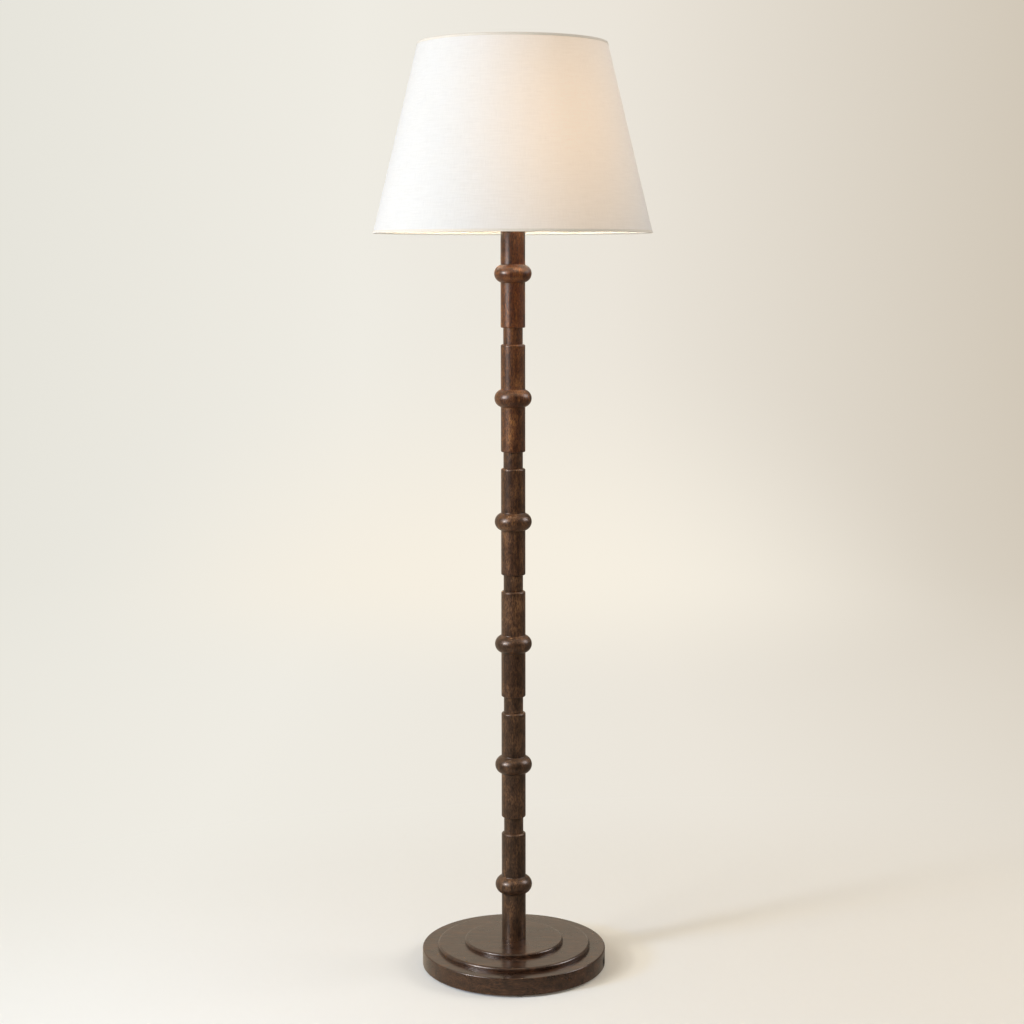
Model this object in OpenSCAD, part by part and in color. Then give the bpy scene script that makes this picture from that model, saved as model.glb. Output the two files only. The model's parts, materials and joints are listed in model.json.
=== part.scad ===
// Candlestick floor lamp: a stepped wooden base, six turned wooden column
// sections clamped on one lamp pipe, a harp with a hard-backed linen shade.
// Millimetres, +Z up. The origin is on the floor, on the axis of the column.
// The photographed front of the lamp faces -Y.

/* [Base discs] */
// Radius of the lowest disc
base_r = 152.4; // [130:0.1:180]
// Thickness of the lowest disc
lower_t = 29; // [28:0.5:40]
// Rounding of the lowest disc's top and bottom edges
lower_edge = 2; // [1:0.25:4]
// Width of the ledge that the lowest disc shows round the middle disc
lower_step = 25.4; // [15:0.1:35]
// Thickness of the middle disc
middle_t = 7; // [6:0.5:12]
// Rounding of the middle disc's top edge
middle_edge = 4; // [1:0.25:5]
// Width of the ledge that the middle disc shows round the top disc
middle_step = 45; // [35:0.5:55]
// Thickness of the top disc
top_t = 6; // [5.5:0.5:12]
// Rounding of the top disc's top edge
top_edge = 3.5; // [1:0.25:4.5]

/* [Underside of the base] */
// Wall of the lowest disc round the recess below it
rim_wall = 40; // [36:0.5:46]
// Wood left between the recess and the middle disc
web_t = 8; // [6:0.5:10]
// Thickness of the sheet steel cover that closes the recess
cover_t = 2; // [1:0.25:3]
// Width of the ledge that the cover is screwed to
cover_lap = 8; // [7:0.5:11]
// Gap round the cover in its rabbet
cover_gap = 0.4; // [0.2:0.1:0.8]
// Number of screws in the cover
cover_screws_n = 6; // [4:1:8]
// Shank radius of the cover and terminal screws
small_screw_r = 1.5; // [1.25:0.05:1.75]
// Length of a cover screw under its head
cover_screw_l = 12; // [8:0.5:14]
// Radius of a felt foot pad
pad_r = 9; // [6:0.5:12]
// Height of a felt foot pad, which lifts the base off the floor
pad_h = 3; // [2:0.25:5]
// Number of felt foot pads
pad_n = 6; // [4:1:8]
// Bearing of the first foot pad, in degrees from +X
pad_angle = 34; // [0:1:45]

/* [Ballast] */
// Thickness of the cast iron ballast ring
ballast_t = 12; // [8:0.5:13]
// Gap between the ballast and the wall of the recess
ballast_gap = 8; // [4:0.5:12]
// Radius of the hole in the middle of the ballast
ballast_hole_r = 34; // [32:0.5:40]
// Number of screws in the ballast, half of them on each side of its slot
ballast_screws_n = 4; // [4:2:4]
// Shank radius of the ballast and disc screws
big_screw_r = 2; // [1.75:0.05:2.5]
// Length of a ballast screw's thread in the wood
ballast_bite = 9; // [6:0.5:12]
// Number of screws that join the discs
disc_screws_n = 4; // [3:1:6]
// Radius from the axis to the screws that join the discs
disc_screw_ring_r = 25; // [23:0.25:27]
// Height of wood left above the tips of the disc screws
disc_screw_cover = 3; // [2:0.25:4]
// Height of a screw head as a share of its shank radius
head_h_share = 1.1; // [0.8:0.05:1.4]
// Radius of a screw head as a share of its shank radius
head_r_share = 2; // [1.7:0.05:2.2]

/* [Cord inlet and terminals] */
// Bearing of the cord inlet, in degrees from +X
inlet_angle = -12; // [-30:1:0]
// Radius of the cord inlet's bore
inlet_r = 3.6; // [3:0.1:4.2]
// Wall of the inlet bushing
bushing_wall = 1.9; // [1.5:0.1:2.2]
// Radius of the inlet bushing's flange
flange_r = 8.5; // [8:0.25:9.5]
// Thickness of the inlet bushing's flange
flange_t = 2; // [1.5:0.25:3]
// How far the bushing stands into the recess
bushing_in = 2; // [1:0.25:3]
// Length of the terminal block along the cord
block_l = 16; // [14:0.5:20]
// Width of the terminal block across the cord
block_w = 24; // [20:0.5:28]
// Height of the terminal block
block_h = 12; // [10:0.5:13]
// Distance from the axis to the terminal block
block_x = 46; // [42:0.5:50]
// Gap between the terminal block and the sides of the ballast's slot
slot_gap = 4; // [2:0.5:6]
// Distance between the terminal block's two screws
terminal_pitch = 16; // [14:0.5:18]
// Length of a terminal screw's thread in the wood
terminal_bite = 4; // [3:0.25:5]
// Radius of the terminal block's mouth for the cable
entry_r = 3.2; // [3.1:0.05:4]
// Depth of the terminal block's two mouths
entry_depth = 4; // [3:0.5:6]

/* [Column] */
// Distance from one ring to the next, the length of one section
ring_pitch = 203.2; // [180:0.1:220]
// Height of the lowest ring's centre above the base
foot_h = 92; // [80:0.5:105]
// Radius of the straight parts of the column
pole_r = 20; // [18:0.25:23]
// Outer radius of a ring
ring_r = 30.5; // [27:0.25:34]
// Radius of the half-round bead of a ring
bead_r = 15; // [12:0.25:17]
// Radius of the fillets where a ring meets the straight parts
bead_fillet = 1.5; // [0.75:0.25:2.5]
// Radius of the necks between the sections
neck_r = 16; // [14:0.25:17]
// Height of a neck
neck_h = 27; // [20:0.5:34]
// Rounding of the shoulder below a neck
shoulder_r = 3; // [1:0.25:3.5]
// Rounding of the edge above a neck
foot_edge_r = 2; // [1:0.25:3]
// Radius of the spigot on top of each neck
spigot_r = 11; // [9:0.25:12.5]
// Height of the spigot on top of each neck
spigot_h = 12; // [8:0.5:16]
// Radius of the spigot under the lowest section
foot_spigot_r = 14; // [12:0.25:15.5]
// Radial clearance of a spigot in its socket
spigot_gap = 0.1; // [0.05:0.05:0.3]
// Space left above a spigot in its socket
spigot_relief = 0.5; // [0.25:0.25:1]

/* [Lamp pipe and cable] */
// Outer radius of the threaded lamp pipe
pipe_r = 5; // [4.75:0.05:5.5]
// Wall of the lamp pipe
pipe_wall = 1; // [0.8:0.05:1.2]
// Radial gap between the pipe and the wood that it passes through
pipe_gap = 0.5; // [0.3:0.1:1]
// Radial clearance of a nut or hub on the pipe's thread
thread_gap = 0.05; // [0.02:0.01:0.1]
// Radius of the cable inside the pipe
cable_r = 2.3; // [2:0.05:2.5]
// Bend radius of the cable below the pipe
cable_bend_r = 7; // [6:0.25:8]
// Climb of the cable from its bend to the terminal block, in degrees
cable_climb = 10; // [8:0.5:12]
// Depth in the pipe at which the cable starts to bend
bend_in_pipe = 3; // [2:0.5:4]
// Radius of the big washer under the base
washer_r = 16; // [14:0.5:18]
// Thickness of the big washer under the base
washer_t = 2; // [1.5:0.25:2.5]
// Radius of the lock washer under the base
lock_r = 9.5; // [8.5:0.25:11]
// Thickness of the lock washer under the base
lock_t = 1.2; // [0.8:0.1:1.4]
// Width across the flats of the pipe nuts
nut_af = 16; // [14:0.5:18]
// Height of the pipe nuts
nut_h = 5; // [4:0.25:5.5]
// Thread of the pipe that shows below the bottom nut
pipe_tail = 0.5; // [0.25:0.25:1]

/* [Socket] */
// Thickness of the brass cap on top of the column
cap_t = 4; // [3:0.25:6]
// How far the brass cap stands out past the column
cap_lip = 1.5; // [0.5:0.25:3]
// Rounding of the brass cap's edge
cap_edge = 1.3; // [0.5:0.1:2]
// Radius of the boss on the brass cap
boss_r = 12; // [10.5:0.5:15]
// Height of the boss on the brass cap
boss_h = 3; // [2:0.25:5]
// Rounding of the boss's edge
boss_edge = 0.75; // [0.5:0.05:1.5]
// Outer radius of the socket's outer shell
shell_r = 16; // [15.7:0.1:17]
// Wall of the socket's outer shell and cap
shell_wall = 0.7; // [0.5:0.05:0.8]
// Height of the socket's outer shell
shell_h = 44; // [40:0.5:50]
// Height of the hub at the bottom of the socket cap
hub_h = 8; // [7:0.25:10]
// Outer radius of the hub at the bottom of the socket cap
hub_r = 8; // [7.5:0.25:9]
// Height of the socket cap's flared part
flare_h = 8; // [6:0.5:10]
// How far the socket cap reaches up round the shell
cap_lap = 6; // [4:0.5:8]
// Radius of the set screw in the hub
set_screw_r = 1.5; // [1.25:0.05:2]
// Height of the set screw above the foot of the hub
set_screw_rise = 3.2; // [3:0.1:4.5]
// Thickness of the socket body's flange on the cap's ledge
socket_flange_t = 1.2; // [1:0.1:2]
// Wall of the insulating sleeve inside the shell
liner_wall = 0.8; // [0.5:0.05:1]
// Height of the socket's insulating body
body_h = 19; // [17:0.5:22]
// Radius of a bulb's screw base
bulb_base_r = 13.1; // [12.9:0.05:13.3]
// Radial clearance of the bulb's base in the screw shell
bulb_gap = 0.1; // [0.05:0.01:0.15]
// Wall of the screw shell
screw_shell_wall = 0.4; // [0.3:0.05:0.5]
// Height of the screw shell
screw_shell_h = 21; // [18:0.5:23]
// Radius of the centre contact
contact_r = 4; // [3:0.25:5]
// Height of the centre contact
contact_h = 1.5; // [1:0.1:2]
// Radius of the switch stem
stem_r = 2; // [1.75:0.05:2.3]
// Radial clearance of the switch stem in the socket's body
stem_gap = 0.06; // [0.03:0.01:0.1]
// Depth of the switch stem in the socket's body
stem_in = 8; // [5:0.5:10]
// Gap round the stem where it passes the shell and the sleeve
stem_hole_gap = 0.5; // [0.3:0.1:0.8]
// Length of the switch knob
knob_l = 11; // [8:0.5:14]
// Radius of the switch knob
knob_r = 5; // [4:0.25:6]
// Distance of the knob from the socket cap
knob_out = 3; // [2:0.25:5]
// Depth of the stem in the knob
knob_grip = 5.5; // [4:0.25:7]
// Radial clearance of the knob on its stem
knob_gap = 0.05; // [0.02:0.01:0.1]
// Length of the knob's round collar, behind its two flats
knob_collar = 3.5; // [2:0.25:5]
// Distance from the knob's axis to each of its flats
knob_flat = 3.75; // [3:0.25:4.5]
// Rounding of the knob's ends
knob_edge = 1.25; // [0.5:0.25:1.5]

/* [Bulb] */
// Height of the bulb's metal base
bulb_base_h = 22; // [20:0.5:24]
// Height of the insulator under the bulb's base
insulator_h = 4; // [3:0.25:5]
// How far the insulator's tip stands out past the centre contact
insulator_lip = 1; // [0.5:0.25:2]
// Radius of the bulb's glass globe
globe_r = 30; // [26:0.5:33]
// Height of the globe's centre above the bulb's base
globe_rise = 50; // [46:0.5:60]
// Radius of the hollow shoulder between the globe and the neck
shoulder_hollow_r = 38; // [34:1:42]
// Wall of the bulb's glass
glass_wall = 0.8; // [0.6:0.05:1]
// Wall of the bulb's metal base
bulb_base_wall = 0.4; // [0.3:0.05:0.5]

/* [Harp] */
// Height from the saddle to the top of the harp
harp_h = 241.3; // [228:0.1:275]
// Radius of the harp's wire
wire_r = 1.9; // [1.6:0.05:2.2]
// Half the width of the harp at its widest
harp_half_w = 58; // [54:0.5:66]
// Thickness of the harp saddle's strip
saddle_t = 1.5; // [1.2:0.1:1.8]
// Width of the saddle's strip
saddle_w = 14; // [12:0.5:16]
// Half the distance between the saddle's arms, over their outer faces
saddle_half = 27.75; // [26:0.25:30]
// Height of the saddle's arms up to the lugs that carry the harp
arm_h = 8; // [6:0.5:10]
// Height of the arm tips above the lugs
tip_h = 10; // [8:0.5:11]
// Width of the arm tips
tip_w = 5; // [4:0.25:5.5]
// Width of the lugs
lug_w = 10; // [9:0.25:12]
// Gap between a harp leg and its arm tip
leg_gap = 0.1; // [0.05:0.05:0.3]
// Length of the straight leg above its lug
leg_h = 32; // [30:0.5:36]
// Height of a ferrule
ferrule_h = 12; // [11:0.25:13]
// Wall of a ferrule
ferrule_wall = 0.7; // [0.5:0.05:0.9]
// Clearance round the tip and the leg inside a ferrule
ferrule_gap = 0.25; // [0.2:0.05:0.5]
// Outward lean of the harp above its legs, in degrees
harp_lean = 25; // [22:0.5:28]
// Radius of the bend above each leg
lean_bend_r = 40; // [30:1:50]
// Radius of the harp's sides
side_bend_r = 130; // [110:1:140]
// Radius of the harp's top corners
corner_bend_r = 40; // [34:1:44]
// Radius of the flat disc at the top of the harp
plate_r = 10; // [9:0.25:12]
// Thickness of the flat disc at the top of the harp
plate_t = 3; // [2.5:0.1:3.6]
// Radius of the swivel stud's flange
stud_flange_r = 8.5; // [7:0.25:8.75]
// Thickness of the swivel stud's flange
stud_flange_t = 1.5; // [1.2:0.1:2.5]
// Radius of the collar that centres the shade on the stud
collar_r = 5.1; // [4.5:0.05:5.5]
// Radius of the stud's thread
thread_r = 3.175; // [3:0.025:3.5]
// Height of the stud's thread above the spider's washer
thread_h = 12; // [10:0.5:14]
// Radius of the rivet that the stud turns on
rivet_r = 1.9; // [1.6:0.05:2.2]
// Radius of the rivet's head
rivet_head_r = 3.2; // [2.8:0.1:4]
// Height of the rivet's head
rivet_head_h = 1.2; // [0.8:0.1:1.6]
// Radial running clearance of the stud, the finial and the spider's washer
turn_gap = 0.06; // [0.03:0.01:0.1]

/* [Finial] */
// Radius of the finial's foot
finial_foot_r = 8; // [7:0.25:9]
// Height of the finial's foot
finial_foot_h = 2.5; // [2:0.25:4]
// Rounding of the finial's foot
finial_foot_edge = 0.8; // [0.5:0.1:1.5]
// Radius of the finial's waist
finial_waist_r = 5; // [4.5:0.25:6]
// Height of the finial's waist
finial_waist_h = 4; // [3:0.5:6]
// Radius of the finial's ball
finial_ball_r = 8; // [7:0.25:9]
// Depth of the thread in the finial beyond the stud's end
finial_relief = 1; // [0.5:0.25:1.5]

/* [Shade] */
// Outer radius of the shade at its top rim
shade_top_r = 153; // [140:0.5:165]
// Outer radius of the shade at its bottom rim
shade_bottom_r = 226.5; // [210:0.5:240]
// Height of the shade
shade_h = 304.8; // [280:0.1:320]
// How far the spider's washer lies below the top rim
spider_drop = 25.4; // [23:0.1:35]
// Thickness of the linen cover
cloth_t = 0.8; // [0.5:0.05:1.2]
// Thickness of the stiff liner
lining_t = 0.8; // [0.5:0.05:1.2]
// Thickness of the glue between the layers of the shade
glue_t = 0.05; // [0.03:0.01:0.1]
// Thickness of the cloth trim on the rims
trim_t = 0.7; // [0.5:0.05:1]
// Height of the cloth trim on the rims
trim_h = 5.5; // [4.5:0.25:9]
// Radius of the wire in the two rim rings
ring_wire_r = 2; // [1.75:0.05:2.5]
// Radius of the spider's arms
arm_wire_r = 1.75; // [1.5:0.05:1.9]
// How far the arms lie above the underside of the spider's washer
arm_rise = 0.3; // [0.1:0.1:0.8]
// Bend radius of the spider's arms below the top ring
arm_bend_r = 6; // [4:0.25:8]
// Radius of the spider's washer
spider_washer_r = 14; // [12:0.5:18]
// Thickness of the spider's washer
spider_washer_t = 1.6; // [1.2:0.1:2]

/* [Hidden] */
$fn = 96;

// A cut runs this far past the face that it opens, and a joined shape past the shared face
past = 1;
// A bead between two lengths of wire stands this far proud of them
knuckle_proud = 0.05;
// Gap round a part that is held still in its seat
fit_gap = 0.1;
// Gap round a screw in its hole, and past its tip
hole_gap = 0.1;

// Radii of the base
middle_r = base_r - lower_step;
top_r = middle_r - middle_step;
recess_r = base_r - rim_wall;
rabbet_r = recess_r + cover_lap;
ballast_r = recess_r - ballast_gap;

// Heights of the base
z_recess = pad_h + lower_t - web_t;
z_middle = pad_h + lower_t;
z_top = z_middle + middle_t;
z_base = z_top + top_t;
z_ballast = z_recess - ballast_t;

// Heights of the column; section 1 is the lowest and section 6 carries the socket
sections = 6;
half_body = (ring_pitch - neck_h) / 2;
function z_ring(k) = z_base + foot_h + (k - 1) * ring_pitch;
z_column = z_ring(sections) + half_body;
bead_x = ring_r - bead_r;
fillet_z = sqrt(pow(bead_r + bead_fillet, 2) - pow(pole_r + bead_fillet - bead_x, 2));
wood_bore_r = pipe_r + pipe_gap;

// Heights under the base
z_washer = z_recess - washer_t;
z_lock = z_washer - lock_t;
z_bottom_nut = z_lock - nut_h;
z_pipe_end = z_bottom_nut - pipe_tail;

// Heights of the head
z_boss = z_column + cap_t;
z_top_nut = z_boss + boss_h;
z_saddle = z_top_nut + nut_h;
z_socket = z_saddle + saddle_t;
z_ledge = z_socket + hub_h + flare_h;
z_shell = z_ledge + socket_flange_t;
z_body_top = z_shell + body_h;
z_bulb = z_body_top + contact_h;

// The inlet bushing: its flange lies just inside the round wall of the base
inlet_z = (pad_h + cover_t + z_recess) / 2;
bushing_r = inlet_r + bushing_wall;
flange_x = sqrt(pow(base_r, 2) - pow(flange_r, 2)) - fit_gap;
bushing_x = recess_r - bushing_in;

// The screws
cover_screw_ring_r = recess_r + cover_lap / 2;
ballast_screw_ring_r = (ballast_hole_r + ballast_r) / 2;
function head_r(r) = r * head_r_share;
function head_h(r) = r * head_h_share;
disc_screw_l = z_base - disc_screw_cover - z_recess;

// The harp: leg, bend out, lean, side bend, straight side, side bend, corner bend
leg_x = saddle_half + leg_gap + wire_r;
z_lug = z_socket + arm_h;
ferrule_x = (saddle_half - saddle_t + leg_x + wire_r) / 2;
ferrule_in_r = norm([ferrule_x - saddle_half + saddle_t, tip_w / 2]) + ferrule_gap;
z_harp = z_socket + harp_h;
z_wire_top = z_harp - plate_t / 2;
x_lean = leg_x + lean_bend_r * (1 - cos(harp_lean));
z_lean = z_lug + leg_h + lean_bend_r * sin(harp_lean);
x_bulge = harp_half_w - side_bend_r * (1 - cos(harp_lean));
lean_l = (x_bulge - x_lean) / sin(harp_lean);
z_bulge = z_lean + lean_l * cos(harp_lean);
z_side = z_bulge + side_bend_r * sin(harp_lean);
corner_reach = harp_half_w - plate_r + past;
corner_turn = acos((side_bend_r - corner_reach) / (side_bend_r - corner_bend_r));
z_corner = z_wire_top - corner_bend_r * (1 - sin(corner_turn));
z_side_top = z_corner - side_bend_r * sin(corner_turn);
x_side_c = harp_half_w - side_bend_r;

// The shade hangs by its spider from the stud's flange
z_spider = z_harp + stud_flange_t;
z_shade_top = z_spider + spider_drop;
z_shade = z_shade_top - shade_h;
shade_slope = (shade_bottom_r - shade_top_r) / shade_h;
wall_cos = cos(atan(shade_slope));
z_finial = z_spider + spider_washer_t;
spider_hole_r = collar_r + turn_gap;
// Three arms, the first of them to the back
spider_arms = 3;
first_arm_angle = 90;

// Outer radius of the shade at a height
function shade_r(z) = shade_bottom_r - (z - z_shade) * shade_slope;
// Depth of each layer inside the shade's outer face, measured level
lining_out = cloth_t + glue_t;
lining_in = lining_out + lining_t;
trim_in = lining_in + glue_t;
ring_in = trim_in + trim_t + glue_t + ring_wire_r / wall_cos;
z_top_ring = z_shade_top - trim_t - ring_wire_r;
z_bottom_ring = z_shade + trim_t + ring_wire_r;
top_ring_r = shade_r(z_top_ring) - ring_in;

// ---- shared shapes ----

// Half profile of a turned cylinder from z0 to z1 with rounded edges
module turned(r, z0, z1, top_round, bottom_round) {
    translate([0, z0 + bottom_round]) square([r, z1 - z0 - top_round - bottom_round]);
    translate([0, z1 - top_round]) rounded_edge(r, top_round);
    if (bottom_round > 0)
        translate([0, z0 + bottom_round]) mirror([0, 1]) rounded_edge(r, bottom_round);
}

// The top of that profile: a flat that ends in a quarter round
module rounded_edge(r, round) {
    square([r - round, round]);
    translate([r - round, 0]) intersection() {
        circle(round);
        square(round);
    }
}

// Ring from z0 to z1
module tube(outer, inner, z0, z1) {
    translate([0, 0, z0]) difference() {
        cylinder(r = outer, h = z1 - z0);
        translate([0, 0, -past]) cylinder(r = inner, h = z1 - z0 + 2 * past);
    }
}

// Upright bore from z0 to z1
module bore(r, z0, z1) {
    translate([0, 0, z0]) cylinder(r = r, h = z1 - z0);
}

// Level bore along +X from x0 to x1 at height z
module level_bore(r, x0, x1, z) {
    translate([x0, 0, z]) rotate([0, 90, 0]) cylinder(r = r, h = x1 - x0);
}

// The part of a profile right of the axis, which is what gets turned
module right_half(reach) {
    intersection() {
        children();
        translate([0, -reach]) square(2 * reach);
    }
}

// Copies round the column's axis
module around(n, first) {
    for (i = [0:n - 1]) rotate([0, 0, first + i * 360 / n]) children();
}

// Screw that points up, with its head under height z
module screw(r, l, z) {
    translate([0, 0, z - head_h(r)]) cylinder(r = head_r(r), h = head_h(r));
    translate([0, 0, z]) cylinder(r = r, h = l);
}

// Round wire bent in the XZ plane round a centre, from one bearing to another
module bend(x, z, r, from, to, wire) {
    translate([x, 0, z]) rotate([90, 0, 0]) rotate([0, 0, from])
        rotate_extrude(angle = to - from) translate([r, 0]) circle(wire);
}

// Round wire in the XZ plane from a point, along a lean from upright
module straight_wire(x, z, lean, l, wire) {
    translate([x, 0, z]) rotate([0, lean, 0]) cylinder(r = wire, h = l);
}

// Small bead in the XZ plane where two lengths of wire or cable meet
module knuckle(x, z, wire) {
    translate([x, 0, z]) sphere(wire + knuckle_proud);
}

// Places of the repeated screws, in the frame of the cord inlet
module at_cover_screws() {
    around(cover_screws_n, 180 / cover_screws_n) translate([cover_screw_ring_r, 0, 0]) children();
}
module at_ballast_screws() {
    around(ballast_screws_n, 180 / ballast_screws_n) translate([ballast_screw_ring_r, 0, 0]) children();
}
module at_disc_screws() {
    around(disc_screws_n, 180 / disc_screws_n) translate([disc_screw_ring_r, 0, 0]) children();
}
module at_terminal_screws() {
    for (side = [-1, 1])
        translate([block_x + block_l / 2, side * terminal_pitch / 2, 0]) children();
}

// ---- base ----

module base_disc_lower() {
    color("#4a3428") difference() {
        rotate_extrude() turned(base_r, pad_h, z_middle, lower_edge, lower_edge);
        bore(recess_r, pad_h - past, z_recess);
        bore(rabbet_r, pad_h - past, pad_h + cover_t);
        bore(wood_bore_r, z_recess - past, z_middle + past);
        rotate([0, 0, inlet_angle]) {
            level_bore(bushing_r + fit_gap, bushing_x, base_r + past, inlet_z);
            level_bore(flange_r + fit_gap, flange_x - flange_t, base_r + past, inlet_z);
            at_cover_screws() bore(small_screw_r + hole_gap, 0, pad_h + cover_t + cover_screw_l);
            at_disc_screws() bore(big_screw_r + hole_gap, z_recess - past, z_middle + past);
            at_ballast_screws() bore(big_screw_r + hole_gap, z_recess - past, z_middle + past);
            at_terminal_screws() bore(small_screw_r + hole_gap, z_recess - past, z_recess + terminal_bite);
        }
    }
}

module base_disc_middle() {
    color("#51392c") difference() {
        rotate_extrude() turned(middle_r, z_middle, z_top, middle_edge, 0);
        bore(foot_spigot_r + spigot_gap, z_middle - past, z_top + past);
        rotate([0, 0, inlet_angle]) {
            at_disc_screws() bore(big_screw_r + hole_gap, z_middle - past, z_top + past);
            at_ballast_screws()
                bore(big_screw_r + hole_gap, z_middle - past, z_recess + ballast_bite + hole_gap);
        }
    }
}

module base_disc_top() {
    color("#583e30") difference() {
        rotate_extrude() turned(top_r, z_top, z_base, top_edge, 0);
        bore(foot_spigot_r + spigot_gap, z_top - past, z_base + past);
        rotate([0, 0, inlet_angle])
            at_disc_screws() bore(big_screw_r + hole_gap, z_top - past, z_recess + disc_screw_l + hole_gap);
    }
}

module ballast_weight() {
    color("#3b3d40") rotate([0, 0, inlet_angle]) difference() {
        tube(ballast_r, ballast_hole_r, z_ballast, z_recess);
        translate([0, -block_w / 2 - slot_gap, z_ballast - past])
            cube([ballast_r + past, block_w + 2 * slot_gap, ballast_t + 2 * past]);
        at_ballast_screws() bore(big_screw_r + hole_gap, z_ballast - past, z_recess + past);
    }
}

module ballast_screws() {
    color("#8d9094") rotate([0, 0, inlet_angle])
        at_ballast_screws() screw(big_screw_r, ballast_t + ballast_bite, z_ballast);
}

module disc_screws() {
    color("#8d9094") rotate([0, 0, inlet_angle])
        at_disc_screws() screw(big_screw_r, disc_screw_l, z_recess);
}

module base_cover() {
    color("#2b2b2d") difference() {
        bore(rabbet_r - cover_gap, pad_h, pad_h + cover_t);
        rotate([0, 0, inlet_angle])
            at_cover_screws() bore(small_screw_r + hole_gap, 0, pad_h + cover_t + past);
    }
}

module cover_screws() {
    color("#8d9094") rotate([0, 0, inlet_angle])
        at_cover_screws() screw(small_screw_r, cover_t + cover_screw_l - hole_gap, pad_h);
}

module foot_pads() {
    color("#1e1c1b") around(pad_n, pad_angle)
        translate([(rabbet_r + base_r) / 2, 0, 0]) cylinder(r = pad_r, h = pad_h);
}

module cord_inlet_bushing() {
    color("#1c1b1a") rotate([0, 0, inlet_angle]) difference() {
        union() {
            level_bore(bushing_r, bushing_x, flange_x, inlet_z);
            level_bore(flange_r, flange_x - flange_t, flange_x, inlet_z);
        }
        level_bore(inlet_r, bushing_x - past, flange_x + past, inlet_z);
    }
}

// The block hangs from the web, with a mouth for the cable and one for the cord
z_block = z_recess - block_h;
entry_z = z_recess - block_h / 2;
module terminal_block() {
    color("#d8d2c2") rotate([0, 0, inlet_angle]) difference() {
        translate([block_x, -block_w / 2, z_block]) cube([block_l, block_w, block_h]);
        level_bore(entry_r, block_x - past, block_x + entry_depth, entry_z);
        level_bore(inlet_r, block_x + block_l - entry_depth, block_x + block_l + past, entry_z);
        at_terminal_screws() bore(small_screw_r + hole_gap, z_block - past, z_recess + past);
    }
}

module terminal_screws() {
    color("#8d9094") rotate([0, 0, inlet_angle])
        at_terminal_screws() screw(small_screw_r, block_h + terminal_bite - hole_gap, z_block);
}

module pipe_washer() {
    color("#9a9da1") tube(washer_r, pipe_r + fit_gap, z_washer, z_recess);
}

module lock_washer() {
    color("#84878b") tube(lock_r, pipe_r + fit_gap, z_lock, z_washer);
}

// Hexagonal nut on the pipe's thread, standing on height z
module pipe_nut(z) {
    difference() {
        translate([0, 0, z]) cylinder(r = nut_af / sqrt(3), h = nut_h, $fn = 6);
        bore(pipe_r + thread_gap, z - past, z + nut_h + past);
    }
}

module bottom_nut() {
    color("#9a9da1") pipe_nut(z_bottom_nut);
}

// ---- column ----

// Half profile of a ring with its two fillets, centred on height 0
module ring_profile() {
    translate([bead_x, 0]) circle(bead_r);
    for (side = [-1, 1]) difference() {
        polygon([[bead_x, 0], [pole_r + bead_fillet, side * fillet_z], [pole_r, side * fillet_z],
            [bead_x, side * fillet_z]]);
        translate([pole_r + bead_fillet, side * fillet_z]) circle(bead_fillet);
    }
}

module column_section(k) {
    lowest = k == 1;
    highest = k == sections;
    body_bottom = lowest ? z_base : z_ring(k) - half_body;
    body_top = z_ring(k) + half_body;
    neck_top = body_top + neck_h;
    color("#5b3a28") difference() {
        union() {
            rotate_extrude() turned(pole_r, body_bottom, body_top, shoulder_r, lowest ? 0 : foot_edge_r);
            rotate_extrude() translate([0, z_ring(k)]) right_half(ring_r) ring_profile();
            if (!highest) {
                bore(neck_r, body_top - past, neck_top);
                bore(spigot_r, neck_top - past, neck_top + spigot_h);
            }
            if (lowest) bore(foot_spigot_r, z_middle, z_base + past);
        }
        bore(wood_bore_r, z_middle - past, z_column + past);
        if (!lowest)
            bore(spigot_r + spigot_gap, body_bottom - past, body_bottom + spigot_h + spigot_relief);
    }
}

module lamp_pipe() {
    color("#a9a49a") tube(pipe_r, pipe_r - pipe_wall, z_pipe_end, z_socket + hub_h);
}

// The cable leaves the pipe, bends and climbs to the mouth of the terminal block
z_bend = z_pipe_end + bend_in_pipe;
cable_end_x = block_x + entry_depth - past;
module riser_cable() {
    bend_end = 270 + cable_climb;
    climb_x = cable_bend_r * (1 + cos(bend_end));
    climb_z = z_bend + cable_bend_r * sin(bend_end);
    color("#f0ede4") {
        bore(cable_r, z_bend, z_ledge);
        rotate([0, 0, inlet_angle]) {
            knuckle(0, z_bend, cable_r);
            bend(cable_bend_r, z_bend, cable_bend_r, 180, bend_end, cable_r);
            knuckle(climb_x, climb_z, cable_r);
            straight_wire(climb_x, climb_z, 90 - cable_climb,
                (cable_end_x - climb_x) / cos(cable_climb), cable_r);
        }
    }
}

// ---- head ----

module column_cap() {
    color("#b08d45") difference() {
        rotate_extrude() {
            turned(pole_r + cap_lip, z_column, z_boss, cap_edge, 0);
            turned(boss_r, z_column, z_top_nut, boss_edge, 0);
        }
        bore(pipe_r + fit_gap, z_column - past, z_top_nut + past);
    }
}

module top_nut() {
    color("#b08d45") pipe_nut(z_top_nut);
}

module harp_saddle() {
    color("#a8843d") difference() {
        union() {
            translate([-saddle_half, -saddle_w / 2, z_saddle]) cube([2 * saddle_half, saddle_w, saddle_t]);
            around(2, 0) {
                translate([saddle_half - saddle_t, -lug_w / 2, z_saddle])
                    cube([saddle_t, lug_w, z_lug - z_saddle]);
                translate([saddle_half - saddle_t, -lug_w / 2, z_lug - saddle_t])
                    cube([leg_x + wire_r - saddle_half + saddle_t + ferrule_wall, lug_w, saddle_t]);
                translate([saddle_half - saddle_t, -tip_w / 2, z_lug - past])
                    cube([saddle_t, tip_w, tip_h + past]);
            }
        }
        bore(pipe_r + fit_gap, z_saddle - past, z_socket + past);
    }
}

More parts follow.
